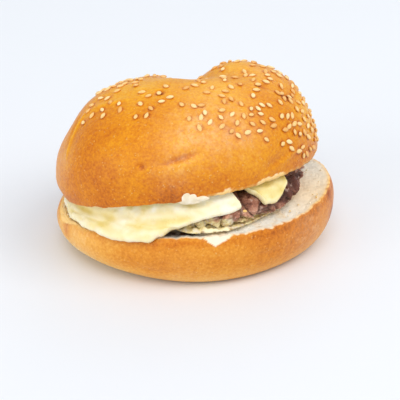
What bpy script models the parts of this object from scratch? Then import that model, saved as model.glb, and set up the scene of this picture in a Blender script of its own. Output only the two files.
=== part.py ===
# A hamburger: a two-lobed seeded crown over melted cheese, a rough patty, sauce and a heel. Each layer is one solid.
# X runs across the open front, Y away from it and Z up, from the middle of the foot that it stands on.
import math
import random

import bmesh
import bpy
from mathutils import Matrix, Vector, noise

# Driving dimensions, in metres, radians and shares of the bun's reach.
BUN_HALF_LENGTH = 0.0568
BUN_HALF_BREADTH = 0.0480
BUN_WAVES = ((3, 0.6, 0.008), (5, 2.1, 0.005))
RIM_ROUND = 0.0015
GAP = 0.0004
CENTRING = Vector((-0.0005, 0.0006, 0.0))

# Heel: the lower half of the bun, cut on a slant, so that it is thickest at the front and right.
HEEL_TURN = math.radians(8)
HEEL_CUT_HEIGHT = 0.0215
HEEL_CUT_SLOPE_X = 0.10
HEEL_CUT_SLOPE_Y = -0.085
HEEL_SAG = 0.0044
HEEL_SAG_ANGLE = math.radians(318)
HEEL_SAG_SPREAD = 0.75
HEEL_FOOT_SHARE = 0.80
HEEL_BELLY_SHARE = 0.66
HEEL_TUCK = 0.15
HEEL_TUCK_ANGLE = math.radians(200)
HEEL_TUCK_SPREAD = 0.9
HEEL_RIM_SHARE = 0.965
HEEL_CRUMB_DIP = 0.0006

# Crown: the upper half, slid to the left and tipped back over the filling.
CROWN_TURN = math.radians(24)
CROWN_CENTRE = Vector((-0.003, 0.0, 0.0))
CROWN_SHARE = 0.945
CROWN_CUT_HEIGHT = 0.0317
CROWN_CUT_SLOPE_X = 0.105
CROWN_CUT_SLOPE_Y = -0.165
CROWN_DROOP = 0.004
CROWN_DROOP_ANGLE = math.radians(200)
CROWN_DROOP_SPREAD = 0.7
CROWN_BELT_HEIGHT = 0.0338
CROWN_BELT_SLOPE_X = 0.06
CROWN_BELT_SLOPE_Y = -0.11
CROWN_RISE = 0.0345
CROWN_FULLNESS = 2.45
CROWN_TUCK = 0.030
CROWN_STEEPEST = 0.9

# The crown's lobes, valley and dimples: where each starts and ends, how wide it is and how far it stands out.
CROWN_FORMS = {
    "right lobe": (Vector((0.019, 0.018, 0.066)), Vector((0.026, 0.012, 0.063)), 0.0165, 0.0048),
    "left lobe": (Vector((-0.034, -0.002, 0.062)), Vector((-0.012, -0.008, 0.067)), 0.015, 0.0017),
    "left shoulder": (Vector((-0.050, -0.016, 0.050)), Vector((-0.047, 0.012, 0.046)), 0.010, -0.0016),
    "right shoulder": (Vector((0.049, -0.002, 0.052)), Vector((0.045, 0.020, 0.048)), 0.012, -0.0009),
    "valley": (Vector((-0.001, 0.013, 0.068)), Vector((-0.005, 0.037, 0.056)), 0.0095, -0.0080),
    "saddle": (Vector((0.004, 0.009, 0.068)), Vector((0.018, 0.003, 0.068)), 0.006, -0.0016),
    "right dimple": (Vector((0.035, -0.003, 0.063)), Vector((0.038, 0.001, 0.061)), 0.0045, -0.0012),
    "front crease": (Vector((-0.012, -0.045, 0.052)), Vector((-0.001, -0.043, 0.056)), 0.0030, -0.0008),
}

# Patty: a hand-pressed disc, rough all over.
PATTY_HALF_LENGTH = 0.0445
PATTY_HALF_BREADTH = 0.0428
PATTY_WAVES = ((4, 1.0, 0.012), (7, 0.3, 0.010))
PATTY_THICKNESS = 0.0125
PATTY_SQUARENESS = 3.2
PATTY_CRAG = 0.0016
PATTY_LUMP = 0.0075

# Sauce: a thin layer under the patty, pressed out at the front into a bead, with one drip over the heel's rim.
SAUCE_THICKNESS = 0.0012
SAUCE_INSET = 0.004
SAUCE_FRONT_ANGLE = math.radians(284)
SAUCE_FRONT_SPREAD = 0.55
SAUCE_BEAD = 0.0028
SAUCE_BEAD_WIDTH = 0.0014
SAUCE_LIFT = 0.0017
SAUCE_DRIP = 0.0075
SAUCE_DRIP_ANGLE = math.radians(281)
SAUCE_DRIP_SPREAD = math.radians(9)

# Cheese: one slice. Its edge hangs this far past the patty's shoulder, by the angle round the burger in degrees.
CHEESE_THICKNESS = 0.0024
CHEESE_SHOULDER = 0.009
CHEESE_LIFT = 0.0014
CHEESE_TURN_OUT = 0.0045
CHEESE_HANG = {
    0: 0.002, 60: 0.003, 95: 0.006, 125: 0.009, 160: 0.010, 188: 0.017, 200: 0.0235, 216: 0.0240, 232: 0.0260,
    240: 0.0266, 250: 0.0256, 255: 0.0230, 260: 0.0190, 270: 0.0158, 282: 0.0126, 291: 0.0112, 296: 0.0062,
    301: 0.0065, 307: 0.0130, 316: 0.0128, 322: 0.0115, 328: 0.0030,
}

# Sesame seeds: drops strewn over the top and back, thickest at the right, as far down as a slanting plane.
SEED_COUNT = 160
SEED_LENGTH = 0.0033
SEED_WIDTH = 0.0021
SEED_THICKNESS = 0.0014
SEED_SUNK = 0.42
SEED_SPACING = 0.0034
SEED_SPREAD = Vector((0.16, 0.72, 1.0))
SEED_LIMIT = 0.0375
SEED_LOWEST = 0.036
SEED_LEFT_CROWD = 0.5
SEED_BACK_CROWD = 0.2
SEED_RANDOM = 11


def smooth(low, high, value):
    share = min(1.0, max(0.0, (value - low) / (high - low)))
    return share * share * (3 - 2 * share)


def near(angle, middle, spread):
    away = math.remainder(angle - middle, 2 * math.pi)
    return math.exp(-((away / spread) ** 2))


def polar(reach, angle, centre=Vector()):
    return centre.x + reach * math.cos(angle), centre.y + reach * math.sin(angle)


def oval_reach(angle, half_length, half_breadth, turn, waves):
    """How far an oval with a slightly wavy outline reaches at this angle."""
    reach = 1 / math.hypot(math.cos(angle - turn) / half_length, math.sin(angle - turn) / half_breadth)
    return reach * (1 + sum(size * math.sin(count * angle + phase) for count, phase, size in waves))


def bun_reach(angle, turn):
    return oval_reach(angle, BUN_HALF_LENGTH, BUN_HALF_BREADTH, turn, BUN_WAVES)


# Heel

def heel_cut(x, y):
    sag = HEEL_SAG * near(math.atan2(y, x), HEEL_SAG_ANGLE, HEEL_SAG_SPREAD)
    out = min(1.0, math.hypot(x, y) / BUN_HALF_BREADTH)
    return HEEL_CUT_HEIGHT + HEEL_CUT_SLOPE_X * x + HEEL_CUT_SLOPE_Y * y - sag * out**2


def heel_rim(angle):
    """The rim's distance from the middle, and its height."""
    reach = bun_reach(angle, HEEL_TURN) * HEEL_RIM_SHARE
    return reach, heel_cut(*polar(reach, angle))


def heel_side_reach(angle, z):
    """The crust's distance from the middle at height z, between the belly and the rim."""
    rim_z = heel_rim(angle)[1]
    belly_z = rim_z * HEEL_BELLY_SHARE
    upper = max(0.0, (z - belly_z) / (rim_z - belly_z))
    return bun_reach(angle, HEEL_TURN) * (1 - (1 - HEEL_RIM_SHARE) * upper**2)


def heel_point(angle, share):
    foot_share, belly_share, rim_share = 0.20, 0.55, 0.75
    reach = bun_reach(angle, HEEL_TURN)
    rim_reach, rim_z = heel_rim(angle)
    belly_z = rim_z * HEEL_BELLY_SHARE
    foot = HEEL_FOOT_SHARE - HEEL_TUCK * near(angle, HEEL_TUCK_ANGLE, HEEL_TUCK_SPREAD)
    if share <= foot_share:
        return Vector((*polar(reach * foot * share / foot_share, angle), 0))
    if share <= belly_share:
        turn = (share - foot_share) / (belly_share - foot_share) * math.pi / 2
        out = foot + (1 - foot) * math.sin(turn)
        return Vector((*polar(reach * out, angle), belly_z * (1 - math.cos(turn))))
    if share <= rim_share:
        z = belly_z + (rim_z - belly_z) * (share - belly_share) / (rim_share - belly_share)
        return Vector((*polar(heel_side_reach(angle, z), angle), z))
    inward = (1 - share) / (1 - rim_share)
    x, y = polar(rim_reach * inward, angle)
    return Vector((x, y, heel_cut(x, y) - HEEL_CRUMB_DIP * smooth(1.0, 0.9, inward)))


# Patty

def patty_reach(angle):
    return oval_reach(angle, PATTY_HALF_LENGTH, PATTY_HALF_BREADTH, 0, PATTY_WAVES)


def patty_point(angle, share):
    turn = (share - 0.5) * math.pi
    power = 2 / PATTY_SQUARENESS
    out = math.cos(turn) ** power
    up = math.copysign(abs(math.sin(turn)) ** power, turn)
    spot = Vector((out * math.cos(angle), out * math.sin(angle), up * 0.3)) * PATTY_HALF_LENGTH / PATTY_LUMP
    crag = PATTY_CRAG * (0.5 + 0.5 * noise.noise(spot) + 0.4 * abs(noise.noise(spot * 2.3)))
    x, y = polar((patty_reach(angle) - crag) * out, angle)
    middle = heel_cut(x, y) + 2 * GAP + SAUCE_THICKNESS + PATTY_THICKNESS / 2
    return Vector((x, y, middle + up * (PATTY_THICKNESS / 2 - crag * abs(up))))


# Cheese and sauce: both are laid along a path that runs out from the middle, as distance from the middle
# and height over the heel's cut.

def down_the_rim(angle, lift, length):
    """The path's stretch over the heel's rim and down its crust, lift clear of both."""
    rim_reach, rim_z = heel_rim(angle)
    points = [(rim_reach - RIM_ROUND, lift)]
    for step in range(4):
        turn = math.pi / 2 * step / 3
        points.append((rim_reach + lift * math.sin(turn), lift * math.cos(turn)))
    for step in range(1, 4):
        drop = length * step / 3
        points.append((heel_side_reach(angle, rim_z - drop) + lift, -drop))
    return points


def slice_path(angle):
    """The underside of the cheese, from the middle over the patty's shoulder to below the heel's rim."""
    top = 3 * GAP + SAUCE_THICKNESS + PATTY_THICKNESS
    shoulder = patty_reach(angle) - CHEESE_SHOULDER
    rim_reach = heel_rim(angle)[0]
    turn_out = max(rim_reach - CHEESE_TURN_OUT, patty_reach(angle) + 3 * GAP)
    corners = (
        (shoulder, top),
        (shoulder + 0.9 * CHEESE_SHOULDER, top),
        (turn_out, 0.45 * top),
        (rim_reach - RIM_ROUND, CHEESE_LIFT),
    )
    points = [(0.0, top)]
    for step in range(8):
        t = step / 8
        weights = (1 - t) ** 3, 3 * t * (1 - t) ** 2, 3 * t * t * (1 - t), t**3
        points.append(tuple(sum(w * corner[axis] for w, corner in zip(weights, corners)) for axis in range(2)))
    return points + down_the_rim(angle, CHEESE_LIFT, 0.008)


def along(path, distance):
    """The point at this distance along a path."""
    for (r0, h0), (r1, h1) in zip(path, path[1:]):
        step = math.hypot(r1 - r0, h1 - h0)
        if distance <= step:
            return r0 + (r1 - r0) * distance / step, h0 + (h1 - h0) * distance / step
        distance -= step
    return path[-1]


def height_at(path, reach):
    """The path's height over the heel's cut at this distance from the middle."""
    for (r0, h0), (r1, h1) in zip(path, path[1:]):
        if reach <= r1 and r1 > r0:
            return h0 + (h1 - h0) * max(0.0, reach - r0) / (r1 - r0)
    return path[-1][1]


def hang(angle):
    """How far the slice's edge hangs past the patty's shoulder, eased between the listed angles."""
    turn = math.degrees(angle) % 360
    stops = sorted(CHEESE_HANG)
    low = max(stop for stop in stops if stop <= turn)
    high = min([stop for stop in stops if stop > turn], default=360)
    return CHEESE_HANG[low] + (CHEESE_HANG[high % 360] - CHEESE_HANG[low]) * smooth(low, high, turn)


def cheese_point(angle, share):
    flat_share = 0.3
    shoulder = patty_reach(angle) - CHEESE_SHOULDER
    if share < flat_share:
        distance = shoulder * share / flat_share
    else:
        distance = shoulder + hang(angle) * (share - flat_share) / (1 - flat_share)
    reach, height = along(slice_path(angle), distance)
    x, y = polar(reach, angle)
    return Vector((x, y, heel_cut(x, y) + height))


def sauce_point(angle, share):
    front = near(angle, SAUCE_FRONT_ANGLE, SAUCE_FRONT_SPREAD)
    bead_reach = patty_reach(angle) + 1.3 * SAUCE_BEAD_WIDTH
    rim_reach = heel_rim(angle)[0]
    path = [(0.0, GAP), (rim_reach - SAUCE_INSET, GAP)] + down_the_rim(angle, SAUCE_LIFT, 0.006)
    length = bead_reach - SAUCE_INSET + (SAUCE_INSET + SAUCE_BEAD_WIDTH) * front
    length = min(length, rim_reach - RIM_ROUND)
    length += SAUCE_DRIP * near(angle, SAUCE_DRIP_ANGLE, SAUCE_DRIP_SPREAD)
    out = (1 - abs(2 * share - 1)) ** 0.4
    reach, height = along(path, length * out)
    if share > 0.5:
        bead = SAUCE_BEAD * front * math.exp(-(((length * out - bead_reach) / SAUCE_BEAD_WIDTH) ** 2))
        height += (SAUCE_THICKNESS - GAP + bead) * math.sqrt(max(0.0, 1 - out**12))
    x, y = polar(reach, angle)
    return Vector((x, y, heel_cut(x, y) + height))


# Crown

def crown_cut(x, y, angle):
    plane = CROWN_CUT_HEIGHT + CROWN_CUT_SLOPE_X * x + CROWN_CUT_SLOPE_Y * y
    return plane - CROWN_DROOP * near(angle, CROWN_DROOP_ANGLE, CROWN_DROOP_SPREAD)


def crown_belt(x, y):
    return CROWN_BELT_HEIGHT + CROWN_BELT_SLOPE_X * x + CROWN_BELT_SLOPE_Y * y


def crown_relief(point):
    total = 0.0
    for start, end, width, height in CROWN_FORMS.values():
        line = end - start
        share = min(1.0, max(0.0, (point - start).dot(line) / line.length_squared))
        total += height * math.exp(-(((point - start - line * share).length / width) ** 2))
    return total


def crown_underside(angle, rim_reach, inward):
    """The cut face, pressed up where the filling stands higher than the cut."""
    x, y = polar(rim_reach * inward, angle, CROWN_CENTRE)
    reach, way = math.hypot(x, y), math.atan2(y, x)
    clear = CHEESE_THICKNESS + 2 * GAP
    filling = heel_cut(x, y) + height_at(slice_path(way), reach - clear) + clear
    return Vector((x, y, max(crown_cut(x, y, angle), filling)))


def crown_point(angle, share):
    rim_share = 7 / 27
    reach = bun_reach(angle, CROWN_TURN) * CROWN_SHARE
    x, y = polar(reach, angle, CROWN_CENTRE)
    belt, cut = crown_belt(x, y), crown_cut(x, y, angle)
    start = math.asin(min(CROWN_STEEPEST, max(0.0, (cut - belt) / CROWN_RISE)))
    start -= math.asin(min(CROWN_STEEPEST, max(0.0, (belt - cut) / CROWN_TUCK)))
    if share < rim_share:
        return crown_underside(angle, reach * math.cos(start), math.sqrt(share / rim_share))
    rise = start + (math.pi / 2 - start) * (share - rim_share) / (1 - rim_share)
    if rise < 0:
        x, y = polar(reach * math.cos(rise), angle, CROWN_CENTRE)
        return Vector((x, y, belt + CROWN_TUCK * math.sin(rise)))
    power = 2 / CROWN_FULLNESS
    x, y = polar(reach * math.cos(rise) ** power, angle, CROWN_CENTRE)
    point = Vector((x, y, crown_belt(x, y) + CROWN_RISE * math.sin(rise) ** power))
    outward = (point - CROWN_CENTRE - Vector((0, 0, CROWN_BELT_HEIGHT))).normalized()
    return point + outward * crown_relief(point)


def crown_normal(angle, share):
    step = 0.004
    around = crown_point(angle + step, share) - crown_point(angle - step, share)
    upward = crown_point(angle, share + step) - crown_point(angle, share - step)
    return around.cross(upward).normalized()


def strewn_seeds():
    """The place of each seed on the crown: a matrix with X along the seed and Z out of the crust."""
    draw = random.Random(SEED_RANDOM)
    places = []
    while len(places) < SEED_COUNT:
        angle, share = draw.uniform(-math.pi, math.pi), 1 - 0.72 * math.sqrt(draw.random())
        spin, chance = draw.uniform(0, 2 * math.pi), draw.random()
        point = crown_point(angle, share)
        crowding = SEED_LEFT_CROWD + (1 - SEED_LEFT_CROWD) * smooth(-0.01, 0.03, point.x)
        crowding *= 1 - (1 - SEED_BACK_CROWD) * smooth(0.005, 0.035, point.y)
        if point.dot(SEED_SPREAD) < SEED_LIMIT or point.z < SEED_LOWEST or chance > crowding:
            continue
        if any((point - place.translation).length < SEED_SPACING for place in places):
            continue
        normal = crown_normal(angle, share)
        turn = normal.to_track_quat("Z", "Y").to_matrix().to_4x4() @ Matrix.Rotation(spin, 4, "Z")
        lifted = point + normal * SEED_THICKNESS * (0.5 - SEED_SUNK)
        places.append(Matrix.Translation(lifted) @ turn)
    return places


def material(name, red, green, blue, roughness):
    """A matt finish from a screen colour, 0 to 255."""
    finish = bpy.data.materials.new(name)
    finish.use_nodes = True
    shader = finish.node_tree.nodes["Principled BSDF"]
    linear = [((part / 255 + 0.055) / 1.055) ** 2.4 for part in (red, green, blue)]
    shader.inputs["Base Color"].default_value = (*linear, 1)
    shader.inputs["Roughness"].default_value = roughness
    shader.inputs["Metallic"].default_value = 0
    return finish


def mesh_object(name, mesh, finish, collection):
    bmesh.ops.recalc_face_normals(mesh, faces=mesh.faces)
    data = bpy.data.meshes.new(name)
    mesh.to_mesh(data)
    mesh.free()
    data.shade_smooth()
    data.materials.append(finish)
    obj = bpy.data.objects.new(name, data)
    collection.objects.link(obj)
    return obj


def rounded_solid(segments, rings, place):
    """A sphere whose points move to place(angle, share), where share runs from 0 at the lower pole to 1 at the upper."""
    mesh = bmesh.new()
    bmesh.ops.create_uvsphere(mesh, u_segments=segments, v_segments=rings, radius=1)
    for vert in mesh.verts:
        angle = math.atan2(vert.co.y, vert.co.x)
        share = 0.5 + math.asin(max(-1.0, min(1.0, vert.co.z))) / math.pi
        vert.co = place(angle, share) + CENTRING
    return mesh


def add_heel(collection):
    finish = material("heel crust", 230, 148, 66, 0.5)
    mesh_object("heel", rounded_solid(46, 20, heel_point), finish, collection)


def add_sauce(collection):
    finish = material("pale sauce", 214, 200, 146, 0.35)
    mesh_object("sauce", rounded_solid(48, 10, sauce_point), finish, collection)


def add_patty(collection):
    finish = material("fried mince", 116, 78, 62, 0.55)
    mesh_object("patty", rounded_solid(40, 16, patty_point), finish, collection)


def add_cheese(collection):
    """A square slice laid over the filling: a flat grid bent to the path, then thickened."""
    mesh = bmesh.new()
    bmesh.ops.create_grid(mesh, x_segments=20, y_segments=20, size=1)
    for vert in mesh.verts:
        angle, share = math.atan2(vert.co.y, vert.co.x), max(abs(vert.co.x), abs(vert.co.y))
        vert.co = cheese_point(angle, share) + CENTRING
    cheese = mesh_object("cheese", mesh, material("melted cheese", 250, 238, 180, 0.3), collection)
    thickness = cheese.modifiers.new("thickness", "SOLIDIFY")
    thickness.thickness = CHEESE_THICKNESS
    thickness.offset = 1


def add_seeds(finish, collection):
    mesh = bmesh.new()
    bmesh.ops.create_uvsphere(mesh, u_segments=5, v_segments=3, radius=0.5)
    for vert in mesh.verts:
        x, y, z = vert.co.z, vert.co.y, vert.co.x
        taper = 1 - 0.55 * max(0.0, x) - 0.2 * max(0.0, -x)
        vert.co = Vector((x * SEED_LENGTH, y * taper * SEED_WIDTH, z * taper * SEED_THICKNESS))
    first = mesh_object("seed", mesh, finish, collection)
    for place in strewn_seeds():
        seed = bpy.data.objects.new("seed", first.data)
        seed.matrix_world = Matrix.Translation(CENTRING) @ place
        collection.objects.link(seed)
    bpy.data.objects.remove(first)


def fuse(obj, extras):
    """Join a collection's objects to this one as a single closed skin, and remove them."""
    union = obj.modifiers.new("union", "BOOLEAN")
    union.operation = "UNION"
    union.operand_type = "COLLECTION"
    union.collection = extras
    union.solver = "EXACT"
    bpy.context.view_layer.update()
    joined = obj.evaluated_get(bpy.context.evaluated_depsgraph_get())
    obj.data = bpy.data.meshes.new_from_object(joined)
    obj.modifiers.remove(union)
    for extra in list(extras.objects):
        bpy.data.objects.remove(extra)
    bpy.data.collections.remove(extras)


def add_crown(collection):
    finish = material("crown crust", 233, 147, 52, 0.45)
    crown = mesh_object("crown", rounded_solid(48, 27, crown_point), finish, collection)
    seeds = bpy.data.collections.new("seeds")
    bpy.context.scene.collection.children.link(seeds)
    add_seeds(finish, seeds)
    fuse(crown, seeds)


def main():
    for obj in list(bpy.data.objects):
        bpy.data.objects.remove(obj)
    collection = bpy.data.collections.new("hamburger")
    bpy.context.scene.collection.children.link(collection)
    add_heel(collection)
    add_sauce(collection)
    add_patty(collection)
    add_cheese(collection)
    add_crown(collection)


main()
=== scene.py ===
import math
import random
from functools import cache

import bmesh
import bpy
from mathutils import Matrix, Vector, kdtree, noise


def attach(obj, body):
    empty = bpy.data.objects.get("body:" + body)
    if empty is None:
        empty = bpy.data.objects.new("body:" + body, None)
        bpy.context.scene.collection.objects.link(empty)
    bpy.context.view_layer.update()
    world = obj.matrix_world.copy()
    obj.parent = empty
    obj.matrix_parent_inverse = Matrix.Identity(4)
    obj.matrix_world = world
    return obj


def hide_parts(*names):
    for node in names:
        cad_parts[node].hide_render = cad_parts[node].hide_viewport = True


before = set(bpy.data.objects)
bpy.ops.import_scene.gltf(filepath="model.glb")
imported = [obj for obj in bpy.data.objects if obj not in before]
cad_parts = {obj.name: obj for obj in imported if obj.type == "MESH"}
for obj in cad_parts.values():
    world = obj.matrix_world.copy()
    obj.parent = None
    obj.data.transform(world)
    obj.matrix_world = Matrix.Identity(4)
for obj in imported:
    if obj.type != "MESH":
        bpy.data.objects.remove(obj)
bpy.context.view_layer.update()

burger = {
    "halfLength": 0.0568,  # of the bun, along its longer way
    "halfBreadth": 0.0480,
    "waves": ((3, 0.6, 0.008), (5, 2.1, 0.005)),  # count, phase and size of the outline's waves
    "rimRound": 0.0015,
    "gap": 0.0004,
    "centring": Vector((-0.0005, 0.0006, 0.0)),
}


# Small helpers

def vectorPairs(*rows):
    # Rows of two vectors and up to two lengths in millimetres, with a tone after them where there is one
    metres = [[part / 1000 for part in row[:8]] + list(row[8:]) for row in rows]
    return [(Vector(row[:3]), Vector(row[3:6]), *row[6:]) for row in metres]


def vectorRows(*rows):
    # Rows of a vector and a length in millimetres, then a tone or strength
    metres = [[part / 1000 for part in row[:4]] + list(row[4:]) for row in rows]
    return [(Vector(row[:3]), *row[3:]) for row in metres]


def smooth(low, high, value):
    share = min(1.0, max(0.0, (value - low) / (high - low)))
    return share * share * (3 - 2 * share)


def near(angle, middle, spread):
    away = math.remainder(angle - middle, 2 * math.pi)
    return math.exp(-((away / spread) ** 2))


def broadly(angle, middle, spread):
    # Like near, but flat in its middle
    away = math.remainder(angle - middle, 2 * math.pi)
    return math.exp(-((away / spread) ** 4))


def atSides(angle, *sides):
    return sum(amount * near(angle, math.radians(turn), spread) for turn, spread, amount in sides)


def hump(value, middle, spread):
    return math.exp(-(((value - middle) / spread) ** 2))


def polar(reach, angle, centre=Vector()):
    return centre.x + reach * math.cos(angle), centre.y + reach * math.sin(angle)


def polarPoint(reach, angle, z):
    return Vector((*polar(reach, angle), z))


def spot(point, middle, size):
    return hump((point - middle).length, 0, size)


def alongLine(point, start, end):
    # How far along a line a point lies, from 0 to 1, and how far from it
    line = end - start
    share = min(1.0, max(0.0, (point - start).dot(line) / max(line.length_squared, 1e-12)))
    return share, (point - start - line * share).length


def nearLine(point, start, end, width):
    return hump(alongLine(point, start, end)[1], 0, width)


def foldAt(point, start, end, width):
    # A fold that is widest in its middle and runs out at both ends
    line = end - start
    if (point - start - line / 2).length > line.length / 2 + 3 * width:
        return 0.0
    share, away = alongLine(point, start, end)
    full = 1 - 0.7 * (2 * share - 1) ** 2
    return full * hump(away, 0, width * (0.4 + 0.6 * full))


def around(angle, size, lift=0.0):
    # A place on a circle, for noise that closes on itself
    return Vector((size * math.cos(angle), size * math.sin(angle), lift))


def onPlane(x, y, height, slopeX, slopeY):
    return height + slopeX * x + slopeY * y


def ringNoise(angle, *parts):
    # Noise round the rim, from pairs of how fine and how strong
    return sum(strength * noise.noise(around(angle, fineness)) for fineness, strength in parts)


def grain(point, *parts):
    return sum(strength * noise.noise(point * fineness) for fineness, strength in parts)


def ovalReach(angle, halfLength, halfBreadth, turn, waves):
    reach = 1 / math.hypot(math.cos(angle - turn) / halfLength, math.sin(angle - turn) / halfBreadth)
    return reach * (1 + sum(size * math.sin(count * angle + phase) for count, phase, size in waves))


@cache
def bunReach(angle, turn):
    return ovalReach(angle, burger["halfLength"], burger["halfBreadth"], turn, burger["waves"])


def ringShares(*spans):
    # Runs of rings, each with its start, its end and how many
    shares = []
    for start, end, count in spans:
        shares += [start + (end - start) * step / count for step in range(count)]
    return [share for share in shares if share > 0]


def solidFromRings(name, segments, shares, place):
    # place(angle, share) gives a point and its looks; share runs from 0 at the lower pole to 1 at the upper
    stations = [(0.0, 0.0)]
    stations += [(2 * math.pi * step / segments, share) for share in shares for step in range(segments)]
    made = [place(angle, share) for angle, share in stations + [(0.0, 1.0)]]
    top = len(made) - 1
    faces = []
    for step in range(segments):
        after = (step + 1) % segments
        faces.append((0, 1 + after, 1 + step))
        faces.append((top - segments + step, top - segments + after, top))
        for ring in range(len(shares) - 1):
            low, high = 1 + ring * segments, 1 + (ring + 1) * segments
            faces.append((low + step, low + after, high + after, high + step))
    points = [point + burger["centring"] for point, _ in made]
    return pieceFrom(name, points, faces, [looks for _, looks in made])


def pieceFrom(name, points, faces, looks):
    data = bpy.data.meshes.new(name)
    data.from_pydata(points, [], faces)
    data.shade_smooth()
    for key in looks[0]:
        layer = data.attributes.new(key, "FLOAT", "POINT")
        layer.data.foreach_set("value", [values[key] for values in looks])
    obj = bpy.data.objects.new(name, data)
    bpy.context.scene.collection.objects.link(obj)
    return obj


# Shader tools

def linear(red, green, blue):
    # A screen colour, 0 to 255, as the shader wants it
    return (*(((part / 255 + 0.055) / 1.055) ** 2.4 for part in (red, green, blue)), 1)


def newMaterial(name, roughness, specular=0.5):
    material = bpy.data.materials.new(name)
    material.use_nodes = True
    shader = material.node_tree.nodes["Principled BSDF"]
    shader.inputs["Roughness"].default_value = roughness
    shader.inputs["Specular IOR Level"].default_value = specular
    return material, material.node_tree, shader


def addNode(tree, kind, **values):
    node = tree.nodes.new("ShaderNode" + kind)
    for key, value in values.items():
        if hasattr(node, key):
            setattr(node, key, value)
        else:
            node.inputs[key].default_value = value
    return node


def noiseNode(tree, vector, scale, detail=3.0, rough=0.5):
    node = addNode(tree, "TexNoise", Scale=scale, Detail=detail, Roughness=rough)
    tree.links.new(vector, node.inputs["Vector"])
    return node.outputs["Fac"]


def calc(tree, operation, first, second, clamp=False):
    node = addNode(tree, "Math", operation=operation, use_clamp=clamp)
    for socket, value in zip(node.inputs, (first, second)):
        if isinstance(value, (int, float)):
            socket.default_value = value
        else:
            tree.links.new(value, socket)
    return node.outputs[0]


def blend(tree, *parts):
    # The weighted sum of several values
    total = None
    for value, weight in parts:
        part = calc(tree, "MULTIPLY", value, weight)
        total = part if total is None else calc(tree, "ADD", total, part)
    return total


def mapRange(tree, value, low, high, toLow=0.0, toHigh=1.0):
    node = addNode(tree, "MapRange", interpolation_type="SMOOTHSTEP")
    tree.links.new(value, node.inputs["Value"])
    for name, number in (("From Min", low), ("From Max", high), ("To Min", toLow), ("To Max", toHigh)):
        node.inputs[name].default_value = number
    return node.outputs["Result"]


def mixColours(tree, factor, first, second):
    node = addNode(tree, "Mix", data_type="RGBA")
    tree.links.new(factor, node.inputs[0])
    for socket, colour in ((node.inputs[6], first), (node.inputs[7], second)):
        if isinstance(colour, tuple):
            socket.default_value = linear(*colour)
        else:
            tree.links.new(colour, socket)
    return node.outputs[2]


def ramp(tree, factor, stops):
    node = addNode(tree, "ValToRGB")
    elements = node.color_ramp.elements
    while len(elements) < len(stops):
        elements.new(0.5)
    for element, (position, colour) in zip(elements, stops):
        element.position = position
        element.color = linear(*colour)
    tree.links.new(factor, node.inputs["Fac"])
    return node.outputs["Color"]


def paint(tree, shader, colour, height, distance, strength=1.0):
    # The colour and the fine relief of a surface
    tree.links.new(colour, shader.inputs["Base Color"])
    node = addNode(tree, "Bump", Strength=strength, Distance=distance)
    tree.links.new(height, node.inputs["Height"])
    tree.links.new(node.outputs["Normal"], shader.inputs["Normal"])


def attribute(tree, name):
    return addNode(tree, "Attribute", attribute_name=name).outputs["Fac"]


def objectSpace(tree):
    return addNode(tree, "TexCoord").outputs["Object"]


def newGroup(name, outputs):
    # A group with a place and a scale going in
    group = bpy.data.node_groups.new(name, "ShaderNodeTree")
    group.interface.new_socket("Vector", in_out="INPUT", socket_type="NodeSocketVector")
    group.interface.new_socket("Scale", in_out="INPUT", socket_type="NodeSocketFloat").default_value = 1.0
    for output in outputs:
        group.interface.new_socket(output, in_out="OUTPUT", socket_type="NodeSocketFloat")
    inside = group.nodes.new("NodeGroupInput").outputs
    scaled = addNode(group, "VectorMath", operation="SCALE")
    group.links.new(inside["Vector"], scaled.inputs[0])
    group.links.new(inside["Scale"], scaled.inputs["Scale"])
    return group, scaled.outputs["Vector"], group.nodes.new("NodeGroupOutput")


def useGroup(tree, group, scale=1.0):
    node = addNode(tree, "Group")
    node.node_tree = group
    node.inputs["Scale"].default_value = scale
    tree.links.new(objectSpace(tree), node.inputs["Vector"])
    return node.outputs


def bakedSkinGroup():
    # The mottle, pale flecks and fine wrinkles of a baked crust
    group, vector, result = newGroup("bakedSkin", ("Mottle", "Flecks", "Height"))
    wide, middle, fine = (noiseNode(group, vector, scale, 3.0, 0.6) for scale in (48, 190, 900))
    group.links.new(blend(group, (wide, 0.36), (middle, 0.10), (fine, 0.54)), result.inputs["Mottle"])
    cells = addNode(group, "TexVoronoi", Scale=760.0)
    group.links.new(vector, cells.inputs["Vector"])
    dots = mapRange(group, cells.outputs["Distance"], 0.36, 0.10)
    some = mapRange(group, noiseNode(group, vector, 500, 1.0), 0.52, 0.66)
    flecks = calc(group, "MULTIPLY", dots, some)
    group.links.new(flecks, result.inputs["Flecks"])
    wrinkles = noiseNode(group, vector, 1100, 3.0, 0.6)
    swell = noiseNode(group, vector, 330, 3.0, 0.5)
    group.links.new(blend(group, (wrinkles, 0.4), (swell, 0.7), (flecks, 0.35)), result.inputs["Height"])
    return group


def breadCrumbGroup():
    # Open pores between thin walls, in three sizes
    group, vector, result = newGroup("breadCrumb", ("Pores", "Tint", "Height"))
    bend = addNode(group, "TexNoise", Scale=300.0, Detail=2.0)
    group.links.new(vector, bend.inputs["Vector"])
    moved = addNode(group, "VectorMath", operation="MULTIPLY_ADD")
    group.links.new(bend.outputs["Color"], moved.inputs[0])
    moved.inputs[1].default_value = (0.0022, 0.0022, 0.0022)
    group.links.new(vector, moved.inputs[2])
    holes = []
    for scale, weight in ((380.0, 0.45), (800.0, 0.35), (1700.0, 0.20)):
        cells = addNode(group, "TexVoronoi", Scale=scale)
        group.links.new(moved.outputs["Vector"], cells.inputs["Vector"])
        holes.append((mapRange(group, cells.outputs["Distance"], 0.5, 0.15), weight))
    pores = blend(group, *holes)
    group.links.new(pores, result.inputs["Pores"])
    group.links.new(noiseNode(group, vector, 110, 3.0, 0.6), result.inputs["Tint"])
    group.links.new(calc(group, "SUBTRACT", 1.0, pores), result.inputs["Height"])
    return group


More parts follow.
